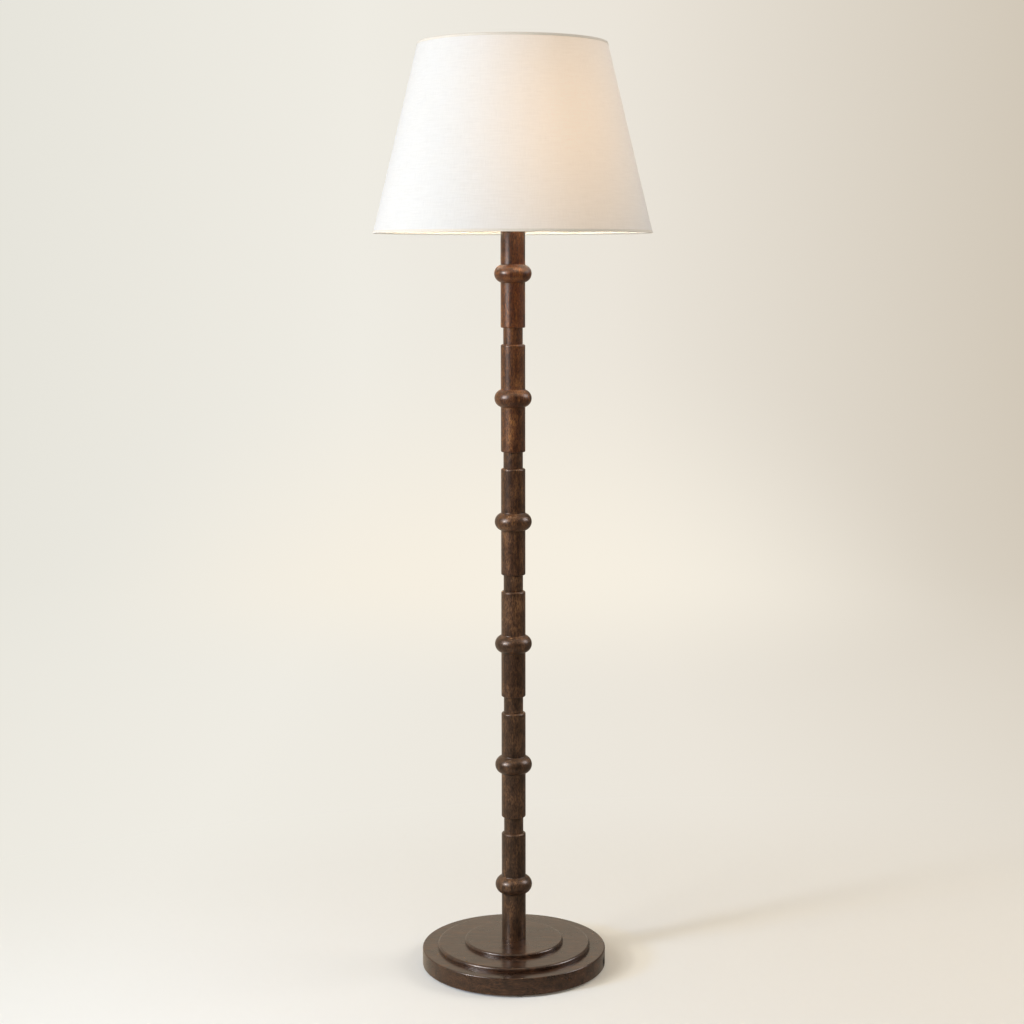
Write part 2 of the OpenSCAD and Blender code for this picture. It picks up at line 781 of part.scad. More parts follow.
// The socket cap: a threaded hub that flares to a cup round the shell
cup_in_r = shell_r + fit_gap;
cup_r = cup_in_r + shell_wall;
ledge_r = shell_r - 2 * liner_wall - shell_wall;
set_screw_z = z_socket + set_screw_rise;
module socket_cap() {
    color("#b8954c") difference() {
        union() {
            bore(hub_r, z_socket, z_socket + hub_h);
            translate([0, 0, z_socket + hub_h - past])
                cylinder(r1 = hub_r, r2 = cup_r, h = flare_h + past - shell_wall);
            bore(cup_r, z_ledge - shell_wall, z_ledge + cap_lap);
        }
        bore(pipe_r + thread_gap, z_socket - past, z_socket + hub_h + past);
        translate([0, 0, z_socket + hub_h])
            cylinder(r1 = hub_r - 2 * shell_wall, r2 = ledge_r, h = flare_h + fit_gap);
        bore(cup_in_r, z_ledge, z_ledge + cap_lap + past);
        translate([0, 0, set_screw_z]) rotate([-90, 0, 0])
            cylinder(r = set_screw_r + thread_gap, h = hub_r + past);
    }
}

module socket_set_screw() {
    color("#8d9094") translate([0, pipe_r + fit_gap, set_screw_z]) rotate([-90, 0, 0])
        cylinder(r = set_screw_r, h = hub_r - pipe_r + fit_gap);
}

// The socket's body: a flange on the cap's ledge and a round block with the switch in it
body_r = bulb_base_r + bulb_gap + screw_shell_wall;
stem_z = z_shell + body_h / 2;
module socket_body() {
    color("#2a2320") difference() {
        union() {
            bore(shell_r, z_ledge, z_shell);
            bore(body_r, z_ledge, z_body_top);
        }
        translate([0, stem_in - body_r, stem_z]) rotate([90, 0, 0])
            cylinder(r = stem_r + stem_gap, h = body_r);
    }
}

liner_r = shell_r - shell_wall - fit_gap;
stem_hole_r = stem_r + stem_hole_gap;
module socket_shell() {
    color("#b8954c") difference() {
        tube(shell_r, shell_r - shell_wall, z_shell, z_shell + shell_h);
        translate([0, 0, stem_z]) rotate([90, 0, 0]) cylinder(r = stem_hole_r, h = shell_r + past);
    }
}

module socket_liner() {
    color("#5f4a34") difference() {
        tube(liner_r, liner_r - liner_wall, z_shell, z_shell + shell_h - liner_wall);
        translate([0, 0, stem_z]) rotate([90, 0, 0]) cylinder(r = stem_hole_r, h = shell_r + past);
    }
}

module screw_shell() {
    color("#c9a75d") tube(body_r, body_r - screw_shell_wall, z_body_top, z_body_top + screw_shell_h);
}

module centre_contact() {
    color("#c08a3e") bore(contact_r, z_body_top, z_bulb);
}

stem_out = cup_r + knob_out;
module switch_stem() {
    color("#b8954c") translate([0, stem_in - body_r, stem_z]) rotate([90, 0, 0])
        cylinder(r = stem_r, h = stem_in - body_r + stem_out + knob_grip);
}

// The knob is a round grip with two flats
module switch_knob() {
    color("#1b1a19") translate([0, -stem_out, stem_z]) rotate([90, 0, 0]) difference() {
        rotate_extrude() turned(knob_r, 0, knob_l, knob_edge, knob_edge);
        bore(stem_r + knob_gap, -past, knob_grip);
        around(2, 0) translate([knob_flat, -knob_r, knob_collar]) cube([knob_r, 2 * knob_r, knob_l]);
    }
}

// ---- bulb ----

z_bulb_base = z_bulb + insulator_h;
glass_neck_r = bulb_base_r - bulb_base_wall - fit_gap;
z_glass = z_bulb_base + bulb_base_h;
module bulb_insulator() {
    color("#262422") translate([0, 0, z_bulb])
        cylinder(r1 = contact_r + insulator_lip, r2 = bulb_base_r - bulb_base_wall, h = insulator_h);
}

module bulb_base() {
    color("#c8c6c0") tube(bulb_base_r, bulb_base_r - bulb_base_wall, z_bulb_base, z_glass);
}

// Half profile of the glass: a neck, a hollow shoulder and a round globe
module glass_profile(inset) {
    hollow_x = glass_neck_r + shoulder_hollow_r;
    reach = globe_r + shoulder_hollow_r;
    hollow_z = globe_rise - sqrt(pow(reach, 2) - pow(hollow_x, 2));
    touch = globe_r / reach;
    translate([0, globe_rise]) circle(globe_r - inset);
    difference() {
        polygon([[0, hollow_z], [hollow_x, hollow_z],
            [hollow_x * touch, globe_rise + (hollow_z - globe_rise) * touch], [0, globe_rise]]);
        translate([hollow_x, hollow_z]) circle(shoulder_hollow_r + inset);
    }
    translate([0, inset - bulb_base_h + glass_wall])
        square([glass_neck_r - inset, hollow_z - 2 * inset + bulb_base_h]);
}

module bulb_glass() {
    color("#f7f2e6") translate([0, 0, z_glass]) rotate_extrude() right_half(globe_rise + globe_r)
        difference() {
            glass_profile(0);
            glass_profile(glass_wall);
        }
}

// ---- harp ----

module harp_half() {
    straight_wire(leg_x, z_lug, 0, leg_h, wire_r);
    knuckle(leg_x, z_lug + leg_h, wire_r);
    bend(leg_x + lean_bend_r, z_lug + leg_h, lean_bend_r, 180 - harp_lean, 180, wire_r);
    knuckle(x_lean, z_lean, wire_r);
    straight_wire(x_lean, z_lean, harp_lean, lean_l, wire_r);
    knuckle(x_bulge, z_bulge, wire_r);
    bend(x_side_c, z_side, side_bend_r, -harp_lean, 0, wire_r);
    knuckle(harp_half_w, z_side, wire_r);
    straight_wire(harp_half_w, z_side, 0, z_side_top - z_side, wire_r);
    knuckle(harp_half_w, z_side_top, wire_r);
    bend(x_side_c, z_side_top, side_bend_r, 0, corner_turn, wire_r);
    knuckle(x_side_c + side_bend_r * cos(corner_turn), z_corner, wire_r);
    bend(plate_r - past, z_wire_top - corner_bend_r, corner_bend_r, corner_turn, 90, wire_r);
}

module harp() {
    color("#b8954c") difference() {
        union() {
            around(2, 0) harp_half();
            bore(plate_r, z_harp - plate_t, z_harp);
        }
        bore(rivet_r + turn_gap, z_harp - plate_t - past, z_harp + past);
    }
}

module harp_ferrule(side) {
    color("#c39f52") translate([side * ferrule_x, 0, 0])
        tube(ferrule_in_r + ferrule_wall, ferrule_in_r, z_lug, z_lug + ferrule_h);
}

module harp_stud() {
    color("#b8954c") {
        bore(stud_flange_r, z_harp, z_spider);
        bore(collar_r, z_harp, z_spider + spider_washer_t - fit_gap);
        bore(thread_r, z_harp, z_finial + thread_h);
        bore(rivet_r, z_harp - plate_t - rivet_head_h, z_harp + past);
        bore(rivet_head_r, z_harp - plate_t - rivet_head_h, z_harp - plate_t);
    }
}

module finial() {
    waist_top = finial_foot_h + finial_waist_h;
    ball_z = waist_top + sqrt(pow(finial_ball_r, 2) - pow(finial_waist_r, 2));
    color("#b8954c") difference() {
        rotate_extrude() translate([0, z_finial]) right_half(ball_z + finial_ball_r) {
            turned(finial_foot_r, 0, finial_foot_h, finial_foot_edge, 0);
            square([finial_waist_r, ball_z]);
            translate([0, ball_z]) circle(finial_ball_r);
        }
        bore(thread_r + turn_gap, z_finial - past, z_finial + thread_h + finial_relief);
    }
}

// ---- shade ----

// Half profile of a layer of the shade's wall between two heights
module wall_profile(out, in, z0, z1) {
    polygon([[shade_r(z0) - out, z0], [shade_r(z1) - out, z1], [shade_r(z1) - in, z1],
        [shade_r(z0) - in, z0]]);
}

edge_gap = trim_t + glue_t;
module shade_cover() {
    color("#f4f3ef") rotate_extrude()
        wall_profile(0, cloth_t, z_shade + edge_gap, z_shade_top - edge_gap);
}

module shade_liner() {
    color("#fbf6e6") rotate_extrude()
        wall_profile(lining_out, lining_in, z_shade + edge_gap, z_shade_top - edge_gap);
}

module shade_top_trim() {
    color("#e9e4d8") rotate_extrude() {
        wall_profile(-glue_t - trim_t, -glue_t, z_shade_top - trim_h, z_shade_top);
        wall_profile(-glue_t - trim_t, trim_in + trim_t, z_shade_top - trim_t, z_shade_top);
        wall_profile(trim_in, trim_in + trim_t, z_shade_top - trim_h, z_shade_top);
    }
}

module shade_bottom_trim() {
    color("#e9e4d8") rotate_extrude() {
        wall_profile(-glue_t - trim_t, -glue_t, z_shade, z_shade + trim_h);
        wall_profile(-glue_t - trim_t, trim_in + trim_t, z_shade, z_shade + trim_t);
        wall_profile(trim_in, trim_in + trim_t, z_shade, z_shade + trim_h);
    }
}

module rim_ring(z) {
    rotate_extrude() translate([shade_r(z) - ring_in, z]) circle(ring_wire_r);
}

module shade_bottom_ring() {
    color("#cfccc4") rim_ring(z_bottom_ring);
}

// The spider: a washer on three arms that hang from the top ring
module shade_spider() {
    z_arm = z_spider + arm_rise + arm_wire_r;
    arm_in = spider_washer_r - arm_wire_r;
    color("#cfccc4") {
        rim_ring(z_top_ring);
        tube(spider_washer_r, spider_hole_r, z_spider, z_finial);
        around(spider_arms, first_arm_angle) {
            level_bore(arm_wire_r, arm_in, top_ring_r - arm_bend_r, z_arm);
            knuckle(top_ring_r - arm_bend_r, z_arm, arm_wire_r);
            bend(top_ring_r - arm_bend_r, z_arm + arm_bend_r, arm_bend_r, 270, 360, arm_wire_r);
            knuckle(top_ring_r, z_arm + arm_bend_r, arm_wire_r);
            translate([top_ring_r, 0, 0]) bore(arm_wire_r, z_arm + arm_bend_r, z_top_ring);
        }
    }
}

// ---- the nodes ----

base_disc_lower();
base_disc_middle();
base_disc_top();
ballast_weight();
base_cover();
foot_pads();
cord_inlet_bushing();
terminal_block();
terminal_screws();
cover_screws();
ballast_screws();
disc_screws();
pipe_washer();
lock_washer();
bottom_nut();
column_section(1);  // column_section_1
column_section(2);  // column_section_2
column_section(3);  // column_section_3
column_section(4);  // column_section_4
column_section(5);  // column_section_5
column_section(6);  // column_section_6
lamp_pipe();
riser_cable();
column_cap();
top_nut();
harp_saddle();
socket_cap();
socket_set_screw();
socket_body();
socket_shell();
socket_liner();
screw_shell();
centre_contact();
switch_stem();
switch_knob();
bulb_base();
bulb_insulator();
bulb_glass();
harp();
harp_ferrule(-1);  // harp_ferrule_left
harp_ferrule(1);  // harp_ferrule_right
harp_stud();
finial();
shade_spider();
shade_bottom_ring();
shade_liner();
shade_cover();
shade_top_trim();
shade_bottom_trim();
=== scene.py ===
"""Candlestick floor lamp: the finishes and finer pieces round the CAD model, its studio and its camera.

Metres, in the frame of the CAD model: +Z up, the origin on the floor on the axis of the column,
and the photographed front facing -Y.
"""

import json
import math

import bmesh
import bpy
from mathutils import Matrix, Vector

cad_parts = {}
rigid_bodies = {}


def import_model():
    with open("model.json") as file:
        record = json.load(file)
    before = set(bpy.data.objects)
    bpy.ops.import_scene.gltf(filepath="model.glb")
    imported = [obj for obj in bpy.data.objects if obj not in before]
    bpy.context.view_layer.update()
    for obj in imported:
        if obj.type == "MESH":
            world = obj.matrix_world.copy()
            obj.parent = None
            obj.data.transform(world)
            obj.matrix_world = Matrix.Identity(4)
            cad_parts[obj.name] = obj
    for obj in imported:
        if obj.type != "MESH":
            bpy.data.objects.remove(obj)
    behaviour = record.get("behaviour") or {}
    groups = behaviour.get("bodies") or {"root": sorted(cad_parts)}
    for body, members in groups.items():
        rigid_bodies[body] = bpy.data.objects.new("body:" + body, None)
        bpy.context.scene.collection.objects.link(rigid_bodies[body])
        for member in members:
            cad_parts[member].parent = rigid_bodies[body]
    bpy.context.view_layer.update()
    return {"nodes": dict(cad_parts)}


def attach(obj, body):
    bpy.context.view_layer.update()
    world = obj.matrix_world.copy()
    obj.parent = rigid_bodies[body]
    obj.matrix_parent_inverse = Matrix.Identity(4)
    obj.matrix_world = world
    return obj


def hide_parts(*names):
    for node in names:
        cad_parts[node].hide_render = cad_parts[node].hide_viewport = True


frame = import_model()
scene = bpy.context.scene

MM = 0.001
CREASE = math.radians(35)  # edges that turn more than this stay crisp


# ---- colours, nodes and meshes ----


def linear(colour):
    """An sRGB hex colour as the linear red, green, blue and alpha that a socket takes."""
    channels = [int(colour[i : i + 2], 16) / 255 for i in (1, 3, 5)]
    flat = [c / 12.92 if c <= 0.04045 else ((c + 0.055) / 1.055) ** 2.4 for c in channels]
    return (*flat, 1.0)


def add(tree, kind, inputs=None, stops=None, **settings):
    """Adds a node. An input is a value, or the socket that feeds it.

    Stops are a ramp's positions and colours.
    """
    node = tree.nodes.new("ShaderNode" + kind)
    for name, value in settings.items():
        setattr(node, name, value)
    for name, value in (inputs or {}).items():
        if isinstance(value, bpy.types.NodeSocket):
            tree.links.new(value, node.inputs[name])
        else:
            node.inputs[name].default_value = value
    if stops:
        ramp = node.color_ramp.elements
        while len(ramp) < len(stops):
            ramp.new(1.0)
        for stop, (position, colour) in zip(ramp, stops):
            stop.position = position
            stop.color = linear(colour)
    return node


def blank_material(name):
    """A material with an empty tree, and the tree."""
    material = bpy.data.materials.new(name)
    material.use_nodes = True
    material.node_tree.nodes.clear()
    return material, material.node_tree


def mottle(tree, coordinates, size, detail=2.0, roughness=0.5, stretch=(1, 1, 1)):
    """A cloudy pattern of 0 to 1, whose blots are about size metres across.

    Stretch is how many times longer they are along each axis.
    """
    scale = tuple(1 / (size * longer) for longer in stretch)
    blots = add(tree, "Mapping", {"Vector": coordinates, "Scale": scale}).outputs[0]
    clouds = {"Vector": blots, "Scale": 1.0, "Detail": detail, "Roughness": roughness}
    return add(tree, "TexNoise", clouds).outputs["Fac"]


# Nearly all of a mottled pattern lies between these two
PATTERN_SPREAD = {"From Min": 0.3, "From Max": 0.7}


def shade_piece(name, mesh, finish, slot, *replaced):
    """Turns a finished bmesh into a piece of the shade, which may stand for CAD nodes."""
    data = bpy.data.meshes.new(name)
    mesh.to_mesh(data)
    mesh.free()
    for face in data.polygons:
        face.use_smooth = True
    data.set_sharp_from_angle(angle=CREASE)
    data.materials.append(finish)
    piece = bpy.data.objects.new(name, data)
    scene.collection.objects.link(piece)
    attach(piece, "shade")
    if replaced:
        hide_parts(*replaced)


# ---- finishes ----

# Marks in the wood, measured across the grain. Real fibres and pores are about a fifth of these
# widths and wouldn't show in the picture, so they are drawn coarser
FIGURE = 9 * MM
FIBRE = 1.8 * MM
PORE = 1.2 * MM
BLOTCH = 24 * MM
FIGURE_LENGTH = 10.0  # in widths
# What each mark adds to the depth of the stain
FIGURE_SHARE = 0.36
FIBRE_SHARE = 0.49
BLOTCH_SHARE = 0.3
FIBRE_RELIEF = 0.35  # how far the fibres stand up, as a part of a pore's depth
PORE_DEPTH = 0.07 * MM


def stained_wood(name, *, grain, shift, tones, fibre_length, coat, painted_top_light, satin):
    """Turned hardwood under dark stain and satin lacquer, its grain along one axis.

    Long fibres show as streaks from red-brown to near black, and open pores as short dark ticks. Oil
    in the stain gives a broad brown sheen, and the lacquer over it small clear highlights. Faces that
    look up are drawn lighter by painted_top_light times: painted light from above. Satin is the lowest
    roughness, and fibre_length is in widths.
    """
    material, tree = blank_material(name)
    own = add(tree, "TexCoord").outputs
    place = add(tree, "Mapping", {"Vector": own["Object"], "Location": shift}).outputs[0]
    long = tuple(FIGURE_LENGTH if axis == grain else 1.0 for axis in "xyz")
    short = tuple(fibre_length if axis == grain else 1.0 for axis in "xyz")
    figure = mottle(tree, place, FIGURE, detail=3.0, roughness=0.6, stretch=long)
    fibre = mottle(tree, place, FIBRE, detail=3.0, roughness=0.7, stretch=short)
    blotch = mottle(tree, place, BLOTCH, detail=3.0, roughness=0.6)
    pore = mottle(tree, place, PORE, detail=1.0, roughness=0.5, stretch=short)
    depth = 0.0
    for mark, share in ((figure, FIGURE_SHARE), (fibre, FIBRE_SHARE), (blotch, BLOTCH_SHARE)):
        depth = add(tree, "Math", {0: mark, 1: share, 2: depth}, operation="MULTIPLY_ADD").outputs[0]
    stain = add(tree, "ValToRGB", {"Fac": depth}, stops=tones).outputs[0]
    open_pore = add(
        tree,
        "MapRange",
        {"Value": pore, "From Min": 0.38, "From Max": 0.5, "To Min": 0.3, "To Max": 1.0},
    ).outputs[0]
    colour = add(
        tree,
        "MixRGB",
        {"Fac": 1.0, "Color1": stain, "Color2": open_pore},
        blend_type="MULTIPLY",
    ).outputs[0]
    # Painted light: faces that look up are made lighter, standing in for light that falls on them from
    # above.
    upward = add(tree, "SeparateXYZ", {"Vector": own["Normal"]}).outputs["Z"]
    lighter = add(
        tree,
        "MapRange",
        {"Value": upward, "From Min": 0.25, "From Max": 0.95, "To Min": 1.0, "To Max": 1.0 + painted_top_light},
    ).outputs[0]
    colour = add(tree, "VectorMath", {0: colour, "Scale": lighter}, operation="SCALE").outputs[0]
    roughness = {"Value": blotch, "To Min": satin, "To Max": satin + 0.1, **PATTERN_SPREAD}
    relief = {0: fibre, 1: FIBRE_RELIEF, 2: open_pore}
    relief = add(tree, "Math", relief, operation="MULTIPLY_ADD").outputs[0]
    shader = add(
        tree,
        "BsdfPrincipled",
        {
            "Base Color": colour,
            "Roughness": add(tree, "MapRange", roughness).outputs[0],
            "IOR": 1.6,
            "Specular Tint": linear("#ffe8dc"),
            "Normal": add(tree, "Bump", {"Height": relief, "Distance": PORE_DEPTH}).outputs[0],
            "Coat Weight": coat,
            "Coat Roughness": 0.16,
        },
    )
    add(tree, "OutputMaterial", {"Surface": shader.outputs[0]})
    return material


def turned_brass(name, bright, polish):
    """Turned and drawn brass, waxed: warm yellow, with a slightly uneven polish.

    The rings that the lathe leaves are drawn 0.5 mm apart, coarser than real ones, so that they show.
    """
    material, tree = blank_material(name)
    place = add(tree, "TexCoord").outputs["Object"]
    rings = mottle(tree, place, 0.5 * MM, detail=2.0, roughness=0.6, stretch=(40, 40, 1))
    film = mottle(tree, place, 9 * MM, detail=3.0, roughness=0.6)
    tint = {"Fac": film, "Color1": linear(bright), "Color2": linear("#a07f48")}
    roughness = {"Value": film, "To Min": polish, "To Max": polish + 0.13, **PATTERN_SPREAD}
    shader = add(
        tree,
        "BsdfPrincipled",
        {
            "Base Color": add(tree, "MixRGB", tint).outputs[0],
            "Metallic": 1.0,
            "Roughness": add(tree, "MapRange", roughness).outputs[0],
            "Normal": add(tree, "Bump", {"Height": rings, "Distance": 0.012 * MM}).outputs[0],
        },
    )
    add(tree, "OutputMaterial", {"Surface": shader.outputs[0]})
    return material


def plated_steel(name, bright, dull, polish):
    """Steel with a zinc or nickel plating: cool grey, with cloudy patches in its shine."""
    material, tree = blank_material(name)
    place = add(tree, "TexCoord").outputs["Object"]
    cloud = mottle(tree, place, 2.4 * MM, detail=3.0, roughness=0.65)
    tint = {"Fac": cloud, "Color1": linear(bright), "Color2": linear(dull)}
    roughness = {"Value": cloud, "To Min": polish, "To Max": polish + 0.15, **PATTERN_SPREAD}
    shader = add(
        tree,
        "BsdfPrincipled",
        {
            "Base Color": add(tree, "MixRGB", tint).outputs[0],
            "Metallic": 1.0,
            "Roughness": add(tree, "MapRange", roughness).outputs[0],
            "Normal": add(tree, "Bump", {"Height": cloud, "Distance": 0.015 * MM}).outputs[0],
        },
    )
    add(tree, "OutputMaterial", {"Surface": shader.outputs[0]})
    return material


def moulded_plastic(name, body, swirl, gloss, grit):
    """Moulded plastic: nearly even in colour. Its mould's grit, drawn coarser to show, dulls its shine."""
    material, tree = blank_material(name)
    place = add(tree, "TexCoord").outputs["Object"]
    flow = mottle(tree, place, 12 * MM, detail=3.0, roughness=0.6)
    grain = mottle(tree, place, grit, detail=2.0, roughness=0.5)
    tint = {"Fac": flow, "Color1": linear(body), "Color2": linear(swirl)}
    roughness = {"Value": grain, "To Min": gloss, "To Max": gloss + 0.1, **PATTERN_SPREAD}
    shader = add(
        tree,
        "BsdfPrincipled",
        {
            "Base Color": add(tree, "MixRGB", tint).outputs[0],
            "Roughness": add(tree, "MapRange", roughness).outputs[0],
            "IOR": 1.5,
            "Normal": add(tree, "Bump", {"Height": grain, "Distance": 0.02 * MM}).outputs[0],
        },
    )
    add(tree, "OutputMaterial", {"Surface": shader.outputs[0]})
    return material


def coated_iron(name, paint, patch, gloss, grit, depth):
    """Painted cast iron or powder-coated sheet: a pebbled skin that scatters its highlights."""
    material, tree = blank_material(name)
    place = add(tree, "TexCoord").outputs["Object"]
    pebble = mottle(tree, place, grit, detail=3.0, roughness=0.6)
    wear = mottle(tree, place, 30 * MM, detail=2.0, roughness=0.5)
    tint = {"Fac": wear, "Color1": linear(paint), "Color2": linear(patch)}
    shader = add(
        tree,
        "BsdfPrincipled",
        {
            "Base Color": add(tree, "MixRGB", tint).outputs[0],
            "Roughness": gloss,
            "IOR": 1.5,
            "Normal": add(tree, "Bump", {"Height": pebble, "Distance": depth}).outputs[0],
        },
    )
    add(tree, "OutputMaterial", {"Surface": shader.outputs[0]})
    return material


def pressed_felt(name):
    """Pressed wool felt: matt, with a soft nap of crossing hairs, drawn thicker than real to show."""
    material, tree = blank_material(name)
    place = add(tree, "TexCoord").outputs["Object"]
    hair = mottle(tree, place, 0.5 * MM, detail=4.0, roughness=0.7)
    tint = {"Fac": hair, "Color1": linear("#15110f"), "Color2": linear("#3a322d")}
    shader = add(
        tree,
        "BsdfPrincipled",
        {
            "Base Color": add(tree, "MixRGB", tint).outputs[0],
            "Roughness": 0.95,
            "Sheen Weight": 0.4,
            "Normal": add(tree, "Bump", {"Height": hair, "Distance": 0.3 * MM}).outputs[0],
        },
    )
    add(tree, "OutputMaterial", {"Surface": shader.outputs[0]})
    return material


# Warp and weft are drawn three times wider than real threads, so that the weave shows
THREAD = 1.2 * MM
THREAD_LENGTH = 16
SLUB = 3.2 * MM
SLUB_LENGTH = 12
SLUB_SHARE = 0.8
THREAD_DEPTH = 0.05 * MM
# Where the painted glow of the bulb's hot side lies on the cloth, at the front right, and how far it reaches
PAINTED_GLOW_SPOT = (0.09, -0.17, 1.4)
PAINTED_GLOW_REACH = (0.23, 0.36, 0.4)


def shade_linen(name, tones, through, glow):
    """White linen in plain weave, glued to a stiff liner: matt, with crossing threads and thick slubs.

    It lets through that share of the light, and carries a painted warm glow of strength glow, standing in
    for the bulb shining through.
    """
    material, tree = blank_material(name)
    flat = add(tree, "UVMap", uv_map="UVMap").outputs[0]
    weft = mottle(tree, flat, THREAD, detail=2.0, roughness=0.6, stretch=(THREAD_LENGTH, 1, 1))
    warp = mottle(tree, flat, THREAD, detail=2.0, roughness=0.6, stretch=(1, THREAD_LENGTH, 1))
    slub = mottle(tree, flat, SLUB, detail=2.0, roughness=0.6, stretch=(SLUB_LENGTH, 1, 1))
    cloth = add(tree, "Math", {0: weft, 1: warp}, operation="ADD").outputs[0]
    cloth = add(tree, "Math", {0: slub, 1: SLUB_SHARE, 2: cloth}, operation="MULTIPLY_ADD").outputs[0]
    thick = add(tree, "Math", {0: cloth, 1: 2.0 + SLUB_SHARE}, operation="DIVIDE").outputs[0]
    colour = add(tree, "ValToRGB", {"Fac": thick}, stops=tones).outputs[0]
    # Painted light: a warm emission patch round the glow spot stands in for the bulb shining through the
    # cloth.
    spot = add(tree, "TexCoord").outputs["Object"]
    spot = add(tree, "VectorMath", {0: spot, 1: PAINTED_GLOW_SPOT}, operation="SUBTRACT").outputs[0]
    spot = add(tree, "VectorMath", {0: spot, 1: PAINTED_GLOW_REACH}, operation="DIVIDE").outputs[0]
    spot = add(tree, "VectorMath", {0: spot}, operation="LENGTH").outputs["Value"]
    painted_glow = add(
        tree,
        "MapRange",
        {"Value": spot, "From Min": 0.0, "From Max": 1.0, "To Min": glow, "To Max": 0.0},
        interpolation_type="SMOOTHSTEP",
    ).outputs[0]
    front = add(
        tree,
        "BsdfPrincipled",
        {
            "Base Color": colour,
            "Roughness": 0.9,
            "Sheen Weight": 0.05,
            "Normal": add(tree, "Bump", {"Height": cloth, "Distance": THREAD_DEPTH}).outputs[0],
            "Emission Color": linear("#ffce94"),
            "Emission Strength": painted_glow,
        },
    ).outputs[0]
    back = add(tree, "BsdfTranslucent", {"Color": colour}).outputs[0]
    shader = add(tree, "MixShader", {0: through, 1: front, 2: back})
    add(tree, "OutputMaterial", {"Surface": shader.outputs[0]})
    return material


def lining_sheet(name, through):
    """Rolled white styrene behind the linen: smooth, faintly warm, and it glows when the lamp is lit."""
    material, tree = blank_material(name)
    place = add(tree, "TexCoord").outputs["Object"]
    cloud = mottle(tree, place, 20 * MM, detail=3.0, roughness=0.6)
    tint = {"Fac": cloud, "Color1": linear("#f7f5ee"), "Color2": linear("#fcfaf5")}
    colour = add(tree, "MixRGB", tint).outputs[0]
    front = add(tree, "BsdfPrincipled", {"Base Color": colour, "Roughness": 0.55, "IOR": 1.5}).outputs[0]
    back = add(tree, "BsdfTranslucent", {"Color": colour}).outputs[0]
    shader = add(tree, "MixShader", {0: through, 1: front, 2: back})
    add(tree, "OutputMaterial", {"Surface": shader.outputs[0]})
    return material


def opal_glass(name, glow):
    """Blown glass, coated white inside, of a lit bulb: satin, and it gives off warm light."""
    material, tree = blank_material(name)
    place = add(tree, "TexCoord").outputs["Object"]
    coat = mottle(tree, place, 6 * MM, detail=2.0, roughness=0.5)
    tint = {"Fac": coat, "Color1": linear("#f4efe4"), "Color2": linear("#fffaf0")}
    shader = add(
        tree,
        "BsdfPrincipled",
        {
            "Base Color": add(tree, "MixRGB", tint).outputs[0],
            "Roughness": 0.3,
            "IOR": 1.5,
            "Emission Color": linear("#ffecd0"),
            "Emission Strength": glow,
        },
    )
    add(tree, "OutputMaterial", {"Surface": shader.outputs[0]})
    return material


SLOT_FINISHES = {
    "cast_iron": coated_iron(
        "painted cast iron", "#2a2b2d", "#38393b", gloss=0.6, grit=1.2 * MM, depth=0.3 * MM
    ),
    "black_steel": coated_iron(
        "powder-coated sheet steel", "#1c1c1d", "#242425", gloss=0.45, grit=0.6 * MM, depth=0.05 * MM
    ),
    "felt": pressed_felt("pressed felt"),
    "black_nylon": moulded_plastic("black moulded nylon", "#141313", "#1d1b1a", gloss=0.42, grit=0.5 * MM),
    "cream_nylon": moulded_plastic("cream moulded nylon", "#d9d2bf", "#e4decd", gloss=0.4, grit=0.5 * MM),
    "zinc_screws": plated_steel("zinc-plated screws", "#c3c6c8", "#8d9196", polish=0.3),
    "zinc_hardware": plated_steel("zinc-plated steel", "#bfc2c4", "#868a8f", polish=0.34),
    "zinc_pipe": plated_steel("zinc-plated pipe", "#b9b7ae", "#8a8880", polish=0.36),
    "white_cable": moulded_plastic("white cable sheath", "#ece9e0", "#f4f2ea", gloss=0.45, grit=0.6 * MM),
    "brass_hardware": turned_brass("turned brass", "#c2a064", polish=0.27),
    "brass_socket": turned_brass("pressed brass", "#c9a86e", polish=0.24),
    "phenolic": moulded_plastic("brown phenolic", "#1d1310", "#3a251c", gloss=0.25, grit=0.8 * MM),
    "fibre_sleeve": moulded_plastic("vulcanised fibre", "#5a4228", "#7a5c3a", gloss=0.7, grit=0.7 * MM),
    "screw_brass": turned_brass("stamped brass", "#cbaa70", polish=0.3),
    "nickel": plated_steel("nickel plating", "#d8d5cd", "#aaa69c", polish=0.16),
    "frosted_glass": opal_glass("opal glass", glow=3.0),
    "white_wire": moulded_plastic("white stove enamel", "#e9e6de", "#f1efe8", gloss=0.5, grit=1.5 * MM),
    "styrene": lining_sheet("styrene lining", through=0.4),
}

for solid in frame["nodes"].values():
    slot = solid.data.materials[0].name.split(".")[0]
    if slot in SLOT_FINISHES:
        solid.data.materials[0] = SLOT_FINISHES[slot]

# Stain tones from the dark of the grain to its light. The upper tones are redder and lighter than the
# lower ones, as painted warm light from the lit shade above, and the upper sections show more of them
UPPER_TONES = [(0.38, "#1d0f08"), (0.5, "#3e2114"), (0.6, "#61361c"), (0.72, "#96602f")]
LOWER_TONES = [(0.38, "#1a110c"), (0.5, "#332419"), (0.6, "#4a3424"), (0.72, "#755438")]
BASE_TONES = [(0.42, "#1b100a"), (0.52, "#311f15"), (0.6, "#422a1c"), (0.7, "#5c3e2a")]
UPPER_SHARES = (0.0, 0.0, 0.15, 0.3, 0.75, 1.0)  # how much of the upper stain each section shows

# Each piece is cut from another place in the board, this many metres further on
SECTION_CUT = (0.31, 0.17, 0.23)
DISC_CUT = (0.19, 0.29, 0.41)


def between(low, high, share):
    """Stain tones part of the way from one list to another."""
    tones = []
    for (position, dark), (_, light) in zip(low, high):
        mixed = [
            round(int(dark[i : i + 2], 16) * (1 - share) + int(light[i : i + 2], 16) * share)
            for i in (1, 3, 5)
        ]
        tones.append((position, "#" + "".join(f"{channel:02x}" for channel in mixed)))
    return tones


